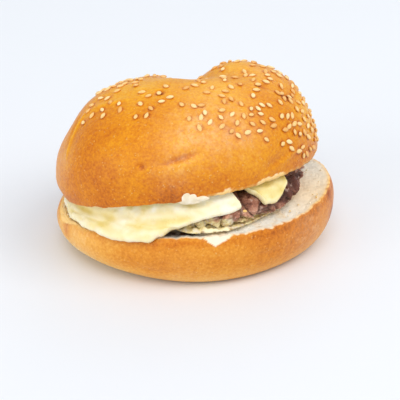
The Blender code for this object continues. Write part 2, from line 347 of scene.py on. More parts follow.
bread = {
    "roughness": 0.36,
    "specular": 0.26,
    "crownStops": (  # position and screen colour, from the darkest bake to the palest
        (0.05, (146, 64, 4)),
        (0.28, (200, 108, 6)),
        (0.48, (223, 139, 8)),
        (0.68, (237, 168, 26)),
        (0.92, (246, 196, 92)),
    ),
    "heelStops": (
        (0.05, (156, 74, 12)),
        (0.28, (206, 117, 22)),
        (0.48, (226, 146, 42)),
        (0.68, (240, 174, 72)),
        (0.92, (252, 208, 130)),
    ),
    # colour of the painted highlights and reflections on the crust
    "paintedSheenColour": (244, 200, 146),
    "fleckColour": (252, 206, 124),
    "crumbColour": (255, 251, 240),
    "crumbWarm": (254, 210, 134),
    # painted shade in the crumb's pores
    "poreShadowColour": (248, 232, 204),
    # colour of the painted shadow in the gap under the cheese
    "gapShadowColour": (74, 40, 20),
    "mottle": 1.10,
    "bump": 0.00042,
}


def breadMaterial(name, skin, crumb, scale, stops):
    # Crust outside and crumb on the cut, told apart by the mesh's own masks
    material, tree, shader = newMaterial(name, bread["roughness"], bread["specular"])
    skinOut, crumbOut = useGroup(tree, skin, scale), useGroup(tree, crumb, scale)
    mottle = calc(tree, "MULTIPLY", calc(tree, "SUBTRACT", skinOut["Mottle"], 0.5), bread["mottle"])
    crust = ramp(tree, calc(tree, "ADD", attribute(tree, "tone"), mottle, clamp=True), stops)
    # painted highlight: the crust is mixed towards a pale colour in the shining areas, most on the raised
    # wrinkles
    shine = mapRange(tree, skinOut["Height"], 0.45, 0.75, 0.3, 1.0)
    paintedSheen = calc(tree, "MULTIPLY", attribute(tree, "paintedSheen"), shine)
    crust = mixColours(tree, paintedSheen, crust, bread["paintedSheenColour"])
    crust = mixColours(tree, calc(tree, "MULTIPLY", skinOut["Flecks"], 0.4), crust, bread["fleckColour"])
    warm = mapRange(tree, crumbOut["Tint"], 0.50, 0.72, 0.0, 0.5)
    warm = calc(tree, "MAXIMUM", warm, attribute(tree, "warm"))
    inside = mixColours(tree, warm, bread["crumbColour"], bread["crumbWarm"])
    # painted shade in the pores
    inside = mixColours(tree, calc(tree, "MULTIPLY", crumbOut["Pores"], 0.3), inside, bread["poreShadowColour"])
    # painted shadow on the crumb in the gap under the cheese
    inside = mixColours(tree, attribute(tree, "gapShadow"), inside, bread["gapShadowColour"])
    cut = attribute(tree, "crumb")
    tree.links.new(mapRange(tree, cut, 0.2, 0.8, bread["roughness"], 0.85), shader.inputs["Roughness"])
    skinHeight = calc(tree, "MULTIPLY", skinOut["Height"], calc(tree, "SUBTRACT", 1.0, cut))
    crumbHeight = calc(tree, "MULTIPLY", calc(tree, "MULTIPLY", crumbOut["Height"], 0.6), cut)
    height = calc(tree, "ADD", skinHeight, crumbHeight)
    paint(tree, shader, mixColours(tree, cut, crust, inside), height, bread["bump"])
    return material


# Heel: the lower bun half

heel = {
    "turn": math.radians(8),
    "cut": (0.0215, 0.10, -0.085),  # height in the middle, slopes to the right and to the back
    "sag": (318, 0.75, 0.0044),
    "footShare": 0.80,
    "bellyShare": 0.66,
    "tuck": (200, 0.9, 0.15),
    "rimShare": 0.965,
    "crumbDip": 0.0008,
    "rimRag": 0.0007,  # how far the torn rim wanders up and down
    "tears": ((274, 279.5, 289, 0.0046), (178, 199, 213, 0.0036)),  # start, deepest, end in degrees; depth
    "tearFrom": 0.0004,  # shallower tears leave the crust whole
    "crumbRelief": 0.0005,
    "gapShadow": vectorPairs((-12, -41.2, 24, -1, -42.2, 24, 2.6)),  # painted shadow in the dark gap under the cheese's edge: start, end and width
    "folds": vectorPairs(  # start, end, width and height of folds in the crust
        (-40, -34, 12, -12, -47, 8, 2.2, -0.4),
        (18, -47, 14, 36, -36, 12, 2.2, -0.4),
        (-22, -44, 16, -8, -47, 13, 0.9, -0.3),
        (-36, -36, 10, -20, -43, 7, 1, -0.3),
        (-30, -41, 15, -24, -44, 13, 0.8, -0.3),
    ),
    # Dark spots: direction in degrees, height and size
    "burns": ((349, 0.0235, 0.0026), (3, 0.0262, 0.0020), (352, 0.0135, 0.004), (205, 0.014, 0.003)),
    "tone": 0.44,  # of the bake, from 0, darkest, to 1
    # paler towards the foot: partly the bake, partly painted light bounced up from the floor
    "footBakeAndBounce": 0.34,
    "beltTone": -0.12,
    "burnTone": -0.35,
    # painted light and shade: paler on the left, where light from the left and the floor falls, darker on the
    # front right
    "sidePaintedLight": ((207, 0.38, 0.32), (322, 0.40, -0.14)),
    "sideWarmth": ((202, 0.40, 0.8), (348, 0.40, 0.5), (140, 1.05, 0.6)),  # of the crumb
    "rimWarmth": 0.6,
    "paintedSheens": vectorRows(  # painted highlights and reflections: middle, width and strength of pale areas painted where light shines off the crust
        (48, -26, 14, 12, 0.45),
        (-45, -28, 14, 12, 0.35),
        (-5, -45, 5, 10, 0.15),
    ),
    "footAt": 0.20,  # shares of the rings where the foot, belly and rim lie
    "bellyAt": 0.55,
    "rimAt": 0.75,
    "segments": 440,
    "rings": ((0, 0.2, 5), (0.2, 0.5, 40), (0.5, 0.77, 60), (0.77, 0.88, 34), (0.88, 1, 6)),
}


def heelCut(x, y):
    sag = atSides(math.atan2(y, x), heel["sag"])
    out = min(1.0, math.hypot(x, y) / burger["halfBreadth"])
    return onPlane(x, y, *heel["cut"]) - sag * out**2


@cache
def heelRim(angle):
    reach = bunReach(angle, heel["turn"]) * heel["rimShare"]
    return reach, heelCut(*polar(reach, angle))


def heelSideReach(angle, z):
    rimZ = heelRim(angle)[1]
    bellyZ = rimZ * heel["bellyShare"]
    upper = max(0.0, (z - bellyZ) / (rimZ - bellyZ))
    return bunReach(angle, heel["turn"]) * (1 - (1 - heel["rimShare"]) * upper**2)


def heelForm(angle, share):
    # The smooth form: foot, belly, upright side and cut
    footAt, bellyAt, rimAt = heel["footAt"], heel["bellyAt"], heel["rimAt"]
    reach = bunReach(angle, heel["turn"])
    rimReach, rimZ = heelRim(angle)
    bellyZ = rimZ * heel["bellyShare"]
    foot = heel["footShare"] - atSides(angle, heel["tuck"])
    if share <= footAt:
        return polarPoint(reach * foot * share / footAt, angle, 0)
    if share <= bellyAt:
        turn = (share - footAt) / (bellyAt - footAt) * math.pi / 2
        out = foot + (1 - foot) * math.sin(turn)
        return polarPoint(reach * out, angle, bellyZ * (1 - math.cos(turn)))
    if share <= rimAt:
        z = bellyZ + (rimZ - bellyZ) * (share - bellyAt) / (rimAt - bellyAt)
        return polarPoint(heelSideReach(angle, z), angle, z)
    inward = (1 - share) / (1 - rimAt)
    x, y = polar(rimReach * inward, angle)
    return Vector((x, y, heelCut(x, y) - heel["crumbDip"] * smooth(1.0, 0.9, inward)))


@cache
def tearDepth(angle, which):
    start, deepest, end, depth = heel["tears"][which]
    turn = math.degrees(angle) % 360
    rise = min((turn - start) / (deepest - start), (end - turn) / (end - deepest))
    return depth * min(1.0, max(0.0, rise + ringNoise(angle, (45, 0.12))))


def tornAt(point, tear, below):
    # How far the crust is gone, where the rim tore down to the depth of tear
    if tear <= heel["tearFrom"]:
        return 0.0
    return smooth(tear + 0.0002, tear - 0.0003, below + grain(point, (600, 0.0002)))


def heelTone(angle, share, point):
    # painted light at the foot and on the left side, painted shade on the right, partly bake
    tone = heel["tone"] + heel["footBakeAndBounce"] * smooth(0.012, 0.0, point.z) + atSides(angle, *heel["sidePaintedLight"])
    tone += heel["beltTone"] * hump(share, 0.69, 0.05)
    for turn, z, size in heel["burns"]:
        side = math.radians(turn)
        tone += heel["burnTone"] * spot(point, polarPoint(bunReach(side, heel["turn"]), side, z), size)
    return tone


def heelWarmth(angle, point):
    # How yellow the crumb is: towards the rim and on some sides, less in the tears
    front, left = (smooth(0.0005, 0.002, tearDepth(angle, which)) for which in range(2))
    edge = smooth(0.965, 1.0, math.hypot(point.x, point.y) / heelRim(angle)[0])
    warm = heel["rimWarmth"] * edge + atSides(angle, *heel["sideWarmth"])
    warm += (0.35 - warm) * front
    warm -= 0.5 * warm * max(0.0, noise.noise(point * 350) + 0.3) * left
    return min(1.0, warm)


def heelPoint(angle, share):
    point = heelForm(angle, share)
    rimAt = heel["rimAt"]
    tear = max(tearDepth(angle, 0), tearDepth(angle, 1))
    below = heelRim(angle)[1] - point.z
    rag = ringNoise(angle, (9, 1.0), (24, 0.6), (70, 0.3))
    point.z -= (heel["rimRag"] * (1 + rag) + 0.1 * tear) * hump(share, rimAt, 0.05)
    cut = smooth(rimAt - 0.010, rimAt + 0.004, share + ringNoise(angle, (30, 0.012)))
    if share > rimAt:
        depth = abs(noise.noise(point * 420)) + 0.6 * noise.noise(point * 150)
        point.z -= heel["crumbRelief"] * depth * smooth(rimAt, rimAt + 0.02, share)
    else:
        torn = tornAt(point, tear, below)
        cut = max(cut, torn)
        swell = grain(point, (60, 0.0003), (200, 0.0001)) - 0.0005 * torn
        for start, end, width, depth in heel["folds"]:
            swell += depth * foldAt(point, start, end, width)
        point += around(angle, 1) * min(swell, 0.0) * smooth(0.0, 0.004, point.z)
    # painted highlights and reflections on the crust's sides
    paintedSheen = sum(strength * spot(point, middle, width) for middle, width, strength in heel["paintedSheens"])
    looks = {
        "tone": heelTone(angle, share, point),
        "crumb": cut,
        "warm": heelWarmth(angle, point),
        "paintedSheen": min(1.0, paintedSheen),
        "gapShadow": min(1.0, 1.5 * nearLine(point, *heel["gapShadow"][0])) * cut,
    }
    return point, looks


# Patty

patty = {
    "halfLength": 0.0445,
    "halfBreadth": 0.0428,
    "waves": ((4, 1.0, 0.012), (7, 0.3, 0.010)),
    "thickness": 0.0125,
    "squareness": 3.2,
    "footOut": ((293, 0.50, 0.0020), (340, 0.15, 0.0016)),  # the open front bulges, a loose piece stands out
    "uprightAngle": math.radians(302),
    "uprightSpread": 0.92,
    "chunk": 0.0072,
    "chunkDepth": 0.0017,
    "granule": 0.0026,
    "granuleDepth": 0.00045,
    "hollow": 0.0015,
    "smearHeight": 0.0068,
    "smearSides": ((276, 0.30, 1.0), (306, 0.30, 0.40)),
    "darkSide": (336, 0.30, -0.45),
    "meatStops": (
        (0.34, (112, 60, 42)),
        (0.46, (182, 120, 94)),
        (0.56, (222, 164, 134)),
        (0.68, (242, 206, 180)),
    ),
    # painted shade in the cracks between the lumps
    "crackShadowColour": (48, 20, 10),
    "fatColour": (206, 176, 160),
    "random": 3,
    "segments": 480,
    "rings": ((0, 0.16, 4), (0.16, 0.80, 122), (0.80, 1, 6)),
}


@cache
def pattyReach(angle):
    return ovalReach(angle, patty["halfLength"], patty["halfBreadth"], 0, patty["waves"])


@cache
def pattyFoot(angle):
    return pattyReach(angle) + atSides(angle, *patty["footOut"])


@cache
def cheeseRim(angle):
    # The slice's path, and how high over the heel its edge hangs
    path = slicePath(angle)
    shoulder, hanging = cheeseEdge(angle)
    return path, alongPath(path, shoulder + hanging)[1]


def underCheese(angle, height):
    # The furthest that the patty may reach at this height without showing through the slice
    path, edge = cheeseRim(angle)
    level = max(height, edge)
    for (r0, h0), (r1, h1) in zip(path, path[1:]):
        if h1 <= level <= h0 and h0 > h1:
            return r0 + (r1 - r0) * (h0 - level) / (h0 - h1) - 0.0004 + max(0.0, edge - height) * 0.8
    return 1.0


def uprightSide(down):
    # The lower side where it stands upright: out and up, as down runs from its middle to the foot's centre
    if down < 0.55:
        return 1.0, -0.9 * down / 0.55
    if down < 0.65:
        turn = (down - 0.55) * 5 * math.pi
        return 0.98 + 0.02 * math.cos(turn), -0.9 - 0.1 * math.sin(turn)
    return 0.98 * (1 - down) / 0.35, -1.0


def pattyPoint(angle, share):
    turn = (share - 0.5) * math.pi
    power = 2 / patty["squareness"]
    out = math.cos(turn) ** power
    up = math.copysign(abs(math.sin(turn)) ** power, turn)
    if share < 0.5:
        openness = broadly(angle, patty["uprightAngle"], patty["uprightSpread"])
        upright = uprightSide(1 - 2 * share)
        out, up = out + (upright[0] - out) * openness, up + (upright[1] - up) * openness
    place = around(angle, out * patty["halfLength"], up * patty["thickness"] * 0.5)
    wander = place + noise.noise_vector(place * 150) * 0.0030
    big, small = noise.voronoi(wander / patty["chunk"])[0], noise.voronoi(wander / patty["granule"])[0]
    crack = 1 - smooth(0.0, 0.24, big[1] - big[0])
    seam = 1 - smooth(0.0, 0.40, small[1] - small[0])
    hollow = max(0.0, noise.noise(place * 80 + Vector((3.1, 0, 0))))
    depth = patty["chunkDepth"] * crack + patty["granuleDepth"] * seam + patty["hollow"] * hollow
    lower = smooth(0.55, -0.15, up)
    reach = pattyReach(angle) + (pattyFoot(angle) - pattyReach(angle)) * lower
    reach = min(reach, underCheese(angle, (0.5 + 0.5 * up) * patty["thickness"] + sauce["thickness"])) - depth
    x, y = polar(reach * out, angle)
    middle = heelCut(x, y) + burger["gap"] + sauce["thickness"] * 0.5 + patty["thickness"] / 2
    z = middle + up * (patty["thickness"] / 2 - depth * abs(up) * 0.8)
    above = z - heelCut(x, y) + 0.003 * noise.noise(place * 210)
    front = atSides(angle, *patty["smearSides"])
    smear = smooth(patty["smearHeight"] * (0.5 + front), 0.0007, above) * min(1.0, 1.5 * front)
    tone = 0.5 + 0.5 * noise.noise(place * 320) + atSides(angle, patty["darkSide"])
    looks = {"crack": min(1.0, crack + 0.3 * seam), "tone": tone, "smear": smear}
    return Vector((x, y, z)), looks


# Sauce

sauce = {
    "thickness": 0.0012,
    "inset": 0.004,
    "front": (282, 0.34, 1.0),
    "bead": 0.0021,
    "beadWidth": 0.0014,
    "pool": (272, 0.17, 1.0),  # where it runs out nearly to the rim
    "lift": 0.0002,
    "relief": 0.0007,
    "smearStops": (
        (0.34, (188, 152, 102)),
        (0.44, (218, 192, 128)),
        (0.54, (236, 216, 154)),
        (0.66, (246, 234, 190)),
    ),
    "milkColour": (232, 216, 194),
    "meatColour": (150, 104, 76),
    "dripColour": (252, 238, 194),
    "segments": 480,
    "rings": ((0, 0.35, 4), (0.35, 0.5, 20), (0.5, 0.72, 44), (0.72, 1, 5)),
}


def downTheRim(angle, lift, length):
    rimReach, rimZ = heelRim(angle)
    points = [(rimReach - burger["rimRound"], lift)]
    for step in range(6):
        turn = math.pi / 2 * step / 5
        points.append((rimReach + lift * math.sin(turn), lift * math.cos(turn)))
    for step in range(1, 5):
        drop = length * step / 4
        points.append((heelSideReach(angle, rimZ - drop) + lift, -drop))
    return points


def alongPath(path, distance):
    for (r0, h0), (r1, h1) in zip(path, path[1:]):
        step = math.hypot(r1 - r0, h1 - h0)
        if distance <= step:
            share = distance / step
            return r0 + (r1 - r0) * share, h0 + (h1 - h0) * share
        distance -= step
    return path[-1]


@cache
def saucePath(angle):
    rimReach = heelRim(angle)[0]
    path = [(0.0, burger["gap"]), (rimReach - sauce["inset"], burger["gap"])]
    front = atSides(angle, sauce["front"])
    spill = 0.0009 * ringNoise(angle, (22, 1.0), (60, 0.6))
    length = pattyFoot(angle) - sauce["inset"] * (1 - front) + front * spill
    pool = atSides(angle, sauce["pool"])
    length += (rimReach - burger["rimRound"] - length) * pool + 0.5 * spill * pool
    length = min(length, rimReach - burger["rimRound"])
    return path + downTheRim(angle, sauce["lift"], 0.006), length, front, pool


def saucePoint(angle, share):
    path, length, front, pool = saucePath(angle)
    out = (1 - abs(2 * share - 1)) ** 0.4
    reach, height = alongPath(path, length * out)
    x, y = polar(reach, angle)
    if share > 0.5:
        foot = pattyFoot(angle) - 0.0004
        lump = max(0.0, 0.35 + ringNoise(angle, (20, 1.3)) + grain(Vector((x, y, 0)), (420, 0.9)))
        width = sauce["beadWidth"] * (1 + pool)
        bead = sauce["bead"] * front * lump * hump(length * out, foot, width)
        rough = sauce["relief"] * (0.5 + grain(Vector((x, y, height)), (420, 1.0), (900, 0.5)))
        height += (sauce["thickness"] - burger["gap"] + bead + rough) * math.sqrt(max(0.0, 1 - out**16))
    drip = smooth(0.0003, 0.0012, tearDepth(angle, 0)) * smooth(-0.0034, -0.0018, reach - heelRim(angle)[0])
    return Vector((x, y, heelCut(x, y) + height)), {"drip": drip}


# Cheese

cheese = {
    "thickness": 0.0019,
    "shoulder": 0.009,
    "lift": 0.0012,
    "turnOut": 0.0045,
    "hang": {  # how far the slice hangs past the patty's shoulder: degrees and millimetres
        0: 2, 60: 3, 95: 6, 125: 9, 160: 11, 184: 16, 197: 23.2, 209: 24.6, 218: 25.6,
        232: 26.6, 240: 26.8, 250: 25.8, 255: 23, 260: 19, 270: 16, 281: 13.8, 285: 12.8, 290: 4.5,
        297: 4, 303: 8.8, 308: 13.2, 313: 13.8, 318: 12.4, 324: 9.8, 328: 3,
    },
    "tipTwist": (286, 0.12, 0.15),  # where the slice's corner swings to the right
    "edgeRag": 0.0008,
    "edgeBead": 0.0005,
    "ripple": 0.0005,
    "flatAt": 0.3,  # share of the rings out to the shoulder
    # painted shade on the tongue and under the crown's edge, and where the painted olive shadow lies
    "tonguePaintedShade": (312, 0.25, -0.30),
    "apronPaintedShade": (243, 0.3, -0.25),
    "paintedShadowSide": (238, 0.32, 2.0),
    "milkySide": (248, 0.40, 1.0),
    "milkyTip": (281, 0.16, 0.8),
    "stops": (
        (0.22, (226, 198, 106)),
        (0.42, (238, 218, 146)),
        (0.60, (245, 231, 186)),
        (0.80, (250, 241, 216)),
    ),
    "milkColour": (250, 245, 226),
    # colour of the painted shadow under the crown's edge
    "paintedShadowColour": (184, 174, 84),
    "segments": 480,
    "rings": ((0, 0.12, 4), (0.12, 0.5, 50), (0.5, 0.86, 84), (0.86, 1, 5)),
}


@cache
def slicePath(angle):
    top = 3 * burger["gap"] + sauce["thickness"] + patty["thickness"]
    shoulder = pattyReach(angle) - cheese["shoulder"]
    rimReach = heelRim(angle)[0]
    turnOut = max(rimReach - cheese["turnOut"], pattyReach(angle) + 3 * burger["gap"])
    corners = (
        (shoulder, top),
        (shoulder + 0.9 * cheese["shoulder"], top),
        (turnOut, 0.45 * top),
        (rimReach - burger["rimRound"], cheese["lift"]),
    )
    points = [(0.0, top)]
    for step in range(16):
        t = step / 16
        weights = (1 - t) ** 3, 3 * t * (1 - t) ** 2, 3 * t * t * (1 - t), t**3
        points.append(tuple(sum(w * part for w, part in zip(weights, parts)) for parts in zip(*corners)))
    return points + downTheRim(angle, cheese["lift"], 0.008)


def hang(angle):
    turn = math.degrees(angle) % 360
    stops = sorted(cheese["hang"])
    low = max(stop for stop in stops if stop <= turn)
    high = min([stop for stop in stops if stop > turn], default=360)
    before, after = cheese["hang"][low] / 1000, cheese["hang"][high % 360] / 1000
    return before + (after - before) * smooth(low, high, turn)


@cache
def cheeseEdge(angle):
    shoulder = pattyReach(angle) - cheese["shoulder"]
    wander = ringNoise(angle, (8, 1.0), (21, 0.5)) - 0.2
    return shoulder, hang(angle) + cheese["edgeRag"] * wander


def cheesePoint(angle, share):
    flatAt = cheese["flatAt"]
    out = 1 - abs(2 * share - 1)
    shoulder, hanging = cheeseEdge(angle)
    distance = shoulder * min(1.0, out / flatAt) + hanging * max(0.0, (out - flatAt) / (1 - flatAt))
    path = slicePath(angle)
    steps = [alongPath(path, max(0.0, distance + 0.0009 * step)) for step in (-3, -2, -1, 0, 1, 2, 3)]
    reach, height = (sum(values) / len(steps) for values in zip(*steps))
    ripple = noise.noise(around(angle, 6, distance * 330))
    ripple += 0.5 * noise.noise(around(angle, 15, distance * 500))
    if share > 0.5:
        run, rise = steps[-1][0] - steps[0][0], steps[-1][1] - steps[0][1]
        size = math.hypot(run, rise) or 1.0
        bead = cheese["edgeBead"] * hump(out, 0.94, 0.05)
        thick = (cheese["thickness"] + bead + cheese["ripple"] * ripple) * math.sqrt(max(0.0, 1 - out**26))
        reach, height = reach - rise / size * thick, height + run / size * thick
    past = smooth(0.003, 0.013, distance - shoulder)
    twist = atSides(angle, cheese["tipTwist"]) * past
    x, y = polar(reach, angle + twist)
    return Vector((x, y, heelCut(x, y) + height)), cheeseLooks(angle, out, x, y, ripple)


def cheeseLooks(angle, out, x, y, ripple):
    # Painted shade, a deeper yellow, on the tongue and inside the apron under the crown's edge; painted olive
    # shadow and milky streaks across the apron
    tone = 0.5 + 0.45 * ripple + 0.2 * hump(out, 0.95, 0.06) + atSides(angle, cheese["tonguePaintedShade"])
    tone += atSides(angle, cheese["apronPaintedShade"]) * smooth(0.75, 0.6, out)
    streaks = 0.5 + grain(Vector((x * 1.2, y * 2.2, 0)), (190, 1.0))
    streaks += grain(Vector((x, y * 2, 0)), (420, 0.5))
    paintedShadow = atSides(angle, cheese["paintedShadowSide"]) * hump(out, 0.50, 0.09) * max(0.0, streaks)
    milky = atSides(angle, cheese["milkySide"]) * hump(out, 0.66, 0.10) * max(0.0, 1.2 - streaks)
    milky += atSides(angle, cheese["milkyTip"])
    return {"tone": tone, "paintedShadow": min(1.0, paintedShadow), "milky": min(1.0, milky)}


# Crown: the upper bun half

crown = {
    "turn": math.radians(24),
    "centre": Vector((-0.003, 0.0, 0.0)),
    "share": 0.945,
    "cut": (0.0317, 0.105, -0.165),  # height in the middle, slopes to the right and to the back
    "droop": (200, 0.7, 0.004),
    "belt": (0.0338, 0.06, -0.11),
    "rise": 0.0345,
    "fullness": 2.45,
    "tuck": 0.030,
    "steepest": 0.9,
    "clear": 0.0032,  # between the slice's lower side and the crown's crumb
    "forms": vectorPairs(  # start, end, width and height of lobes, valley and large dents, as in the solid
        (19, 18, 66, 26, 12, 63, 16.5, 4.8),
        (-34, -2, 62, -12, -8, 67, 15, 1.7),
        (-50, -16, 50, -47, 12, 46, 10, -1.6),
        (49, -2, 52, 45, 20, 48, 12, -0.9),
        (-1, 13, 68, -5, 37, 56, 9.5, -8),
        (4, 9, 68, 18, 3, 68, 6, -1.6),
        (35, -3, 63, 38, 1, 61, 4.5, -1.2),
        (-12, -45, 52, -1, -43, 56, 3, -0.8),
    ),
    "folds": vectorPairs(  # start, end, width, height and tone of the small folds, dimples and blisters; the tone is partly bake, partly painted shade in the dents and painted light on the ridges
        (-12, -43.7, 52.2, 1, -41.8, 56, 1.1, -0.9, -0.36),
        (-15, -44.2, 50, 1, -43, 53, 2.6, 1, 0.14),
        (-20, -43.2, 51.8, -17.8, -43.3, 51, 1.2, -0.9, -0.32),
        (-17.2, -43.6, 51.4, -16.2, -43.8, 50.4, 1.2, 0.3, 0.14),
        (3, -43.7, 51.3, 8, -42.6, 50.7, 1.1, -0.3, -0.14),
        (26, -33.8, 43.6, 40, -20, 48, 1.3, 0.6, 0.12),
        (24, -34.5, 45, 36, -25, 48, 2.2, -0.6, -0.06),
        (-5.3, -36.8, 62.2, -3.4, -36, 62.8, 0.4, -0.3, -0.25),
        (-2.6, -37, 61.6, 0.4, -37.8, 60.8, 0.4, -0.3, -0.25),
        (-50, -24, 44, -42, -12, 59, 1.1, 0.9, 0.26),
        (-51.5, -20, 45, -44, -8, 59, 1.6, -1, -0.06),
        (-33, -29, 58, -26, -33, 57, 2, -0.4, -0.08),
        (-6, -33, 65, 6, -33, 65, 2.2, 0.5, 0.08),
        (-42, -12, 59, -24, -17, 67.5, 2, 0.6, 0.10),
        (-14, -17, 69.5, -12, -15, 69.8, 1.9, -1.1, -0.50),
        (24.5, -5, 67.5, 29, -6, 66.5, 1.8, -0.8, -0.25),
        (35, -3, 63, 36.3, -6, 61, 2.6, -0.6, -0.30),
        (16.2, -31.2, 61.4, 16.6, -31.8, 60.6, 1.3, 0.4, 0.10),
        (13.4, -36.2, 58.3, 13.5, -36.2, 58.2, 0.4, -0.5, -0.40),
        (-34, -40, 44, -30, -41.5, 45, 1.6, 0.3, 0.06),
        (-19, -46.2, 43, -18.5, -46.2, 42.5, 1, 0.3, 0.10),
    ),
    "lightAndBakeTones": vectorRows(  # middle, width and tone of wide paler or darker areas: partly bake, partly painted light on the top, the front highlight and the reflecting left edge, and painted shade low down
        (0, -38, 60, 13, 0.04),
        (-20, -36, 58, 10, -0.04),
        (-34, -34, 42, 19, -0.14),
        (-8, -47, 41, 10, -0.12),
        (10, -44, 46, 8, -0.06),
        (-36, -24, 58, 9, -0.06),
        (32, -22, 56, 12, -0.04),
        (20, 18, 69, 18, 0.16),
        (-20, -5, 69, 14, 0.18),
        (10, -12, 71, 12, 0.16),
        (46, 0, 55, 12, 0.17),
        (-48, -22, 46, 5, 0.10),
    ),
    "paintedSheens": vectorRows(  # painted highlights and reflections: middle, width and strength of pale areas painted where light shines off the crust
        (0, -36, 62, 12, 0.50),
        (-8, -46, 50, 7, 0.22),
        (18, -32, 60, 10, 0.30),
        (-51, -18, 40, 8, 0.30),
        (10, -22, 70, 12, 0.25),
        (30, 10, 69, 14, 0.25),
    ),
    "lips": ((306, 324, 0.009), (284, 291, 0.006), (184, 203, 0.030)),  # torn: from, to and how far up
    "torn": vectorPairs(  # start, end and width of places where pale crumb shows above the lip
        (12.2, -43.5, 41.2, 15, -42.8, 41.8, 1.2),
        (40.2, -26.2, 42.4, 41, -25.6, 42.8, 1.3),
    ),
    "edgeRag": 0.0006,
    "lipLift": (190, 0.28, 0.0024),  # the lip stands up at the far left
    "crumbRelief": 0.0007,
    "seedDent": -0.0002,  # each seed sits in a small dent; the darker rim round it is painted contact shadow, partly browner bake
    "paintedSeedShadow": -0.26,
    "lipShade": -0.10,
    "rimAt": 7 / 27,  # share of the rings where the lip lies
    "segments": 480,
    "rings": ((0, 0.15, 4), (0.15, 0.24, 10), (0.24, 0.30, 26), (0.30, 0.80, 118), (0.80, 1, 22)),
}


def crownCut(x, y, angle):
    return onPlane(x, y, *crown["cut"]) - atSides(angle, crown["droop"])


def crownBelt(x, y):
    return onPlane(x, y, *crown["belt"])


def heightAt(path, reach):
    for (r0, h0), (r1, h1) in zip(path, path[1:]):
        if reach <= r1 and r1 > r0:
            return h0 + (h1 - h0) * max(0.0, reach - r0) / (r1 - r0)
    return path[-1][1]


def crownUnderside(angle, rimReach, inward):
    x, y = polar(rimReach * inward, angle, crown["centre"])
    way = round(math.atan2(y, x), 2)
    filling = heelCut(x, y) + heightAt(slicePath(way), math.hypot(x, y) - crown["clear"]) + crown["clear"]
    return Vector((x, y, max(crownCut(x, y, angle), filling)))


@cache
def crownStart(angle):
    reach = bunReach(angle, crown["turn"]) * crown["share"]
    x, y = polar(reach, angle, crown["centre"])
    belt, cut = crownBelt(x, y), crownCut(x, y, angle)
    start = math.asin(min(crown["steepest"], max(0.0, (cut - belt) / crown["rise"])))
    start -= math.asin(min(crown["steepest"], max(0.0, (belt - cut) / crown["tuck"])))
    return reach, belt, start


def outOf(point):
    return (point - crown["centre"] - Vector((0, 0, crown["belt"][0]))).normalized()


def crownForm(angle, share):
    rimAt = crown["rimAt"]
    reach, belt, start = crownStart(angle)
    if share < rimAt:
        return crownUnderside(angle, reach * math.cos(start), math.sqrt(share / rimAt))
    rise = start + (math.pi / 2 - start) * (share - rimAt) / (1 - rimAt)
    if rise < 0:
        x, y = polar(reach * math.cos(rise), angle, crown["centre"])
        return Vector((x, y, belt + crown["tuck"] * math.sin(rise)))
    power = 2 / crown["fullness"]
    x, y = polar(reach * math.cos(rise) ** power, angle, crown["centre"])
    point = Vector((x, y, crownBelt(x, y) + crown["rise"] * math.sin(rise) ** power))
    relief = sum(height * nearLine(point, start, end, width) for start, end, width, height in crown["forms"])
    return point + outOf(point) * relief


def crownNormal(angle, share):
    step = 0.004
    sideways = crownForm(angle + step, share) - crownForm(angle - step, share)
    upward = crownForm(angle, share + step) - crownForm(angle, share - step)
    return sideways.cross(upward).normalized()


def crownCrumb(angle, share, point):
    # Where pale crumb shows: below the lip, at the torn places and on the torn stretches of the lip
    rimAt = crown["rimAt"]
    cut = smooth(rimAt + 0.002, rimAt - 0.006, share + ringNoise(angle, (22, 0.005)))
    for start, end, width in crown["torn"]:
        cut = max(cut, smooth(0.35, 0.6, nearLine(point, start, end, width) + grain(point, (900, 0.3))))
    turn = math.degrees(angle) % 360
    for low, high, height in crown["lips"]:
        height *= smooth(low - 1, low + 2, turn) * smooth(high + 1, high - 2, turn)
        height *= 1 + ringNoise(angle, (40, 0.8))
        if height > 0.001:
            cut = max(cut, smooth(rimAt + height, rimAt + height - 0.003, share))
    return cut


def crownPoint(angle, share, seedTree):
    rimAt = crown["rimAt"]
    point = crownForm(angle, share)
    nearRim = hump(share, rimAt, 0.018)
    rag = ringNoise(angle, (7, 1.0), (19, 0.5), (60, 0.3))
    point.z += crown["edgeRag"] * (rag + 0.4) * nearRim
    point.z += atSides(angle, crown["lipLift"]) * hump(share, rimAt, 0.05)
    cut = crownCrumb(angle, share, point)
    tone, paintedSheen = 0.50, 0.0
    if share < rimAt:
        point.z += crown["crumbRelief"] * abs(noise.noise(point * 400)) * smooth(rimAt, rimAt - 0.02, share)
    else:
        lift = grain(point, (75, 0.00022), (210, 0.0001), (600, 0.00004))
        # darker in the dents and paler on the ridges: painted shade and light, partly bake
        for start, end, width, height, shade in crown["folds"]:
            touch = foldAt(point, start, end, width)
            lift += height * touch
            tone += shade * touch
        # wide areas of painted light and shade, partly bake
        tone += sum(shade * spot(point, middle, width) for middle, width, shade in crown["lightAndBakeTones"])
        # painted highlights and reflections on the crust
        paintedSheen = sum(strength * spot(point, middle, width) for middle, width, strength in crown["paintedSheens"])
        away = seedTree.find(point + burger["centring"])[2]
        lift += crown["seedDent"] * hump(away, 0, 0.0018)
        # painted contact shadow round each seed
        tone += crown["paintedSeedShadow"] * math.exp(-((away / 0.0016) ** 4))
        tone += crown["lipShade"] * hump(share, rimAt, 0.07)
        point += outOf(point) * lift * smooth(rimAt, rimAt + 0.03, share)
    return point, {"tone": tone, "crumb": cut, "warm": nearRim, "paintedSheen": min(1.0, paintedSheen), "gapShadow": 0.0}


# Sesame seeds

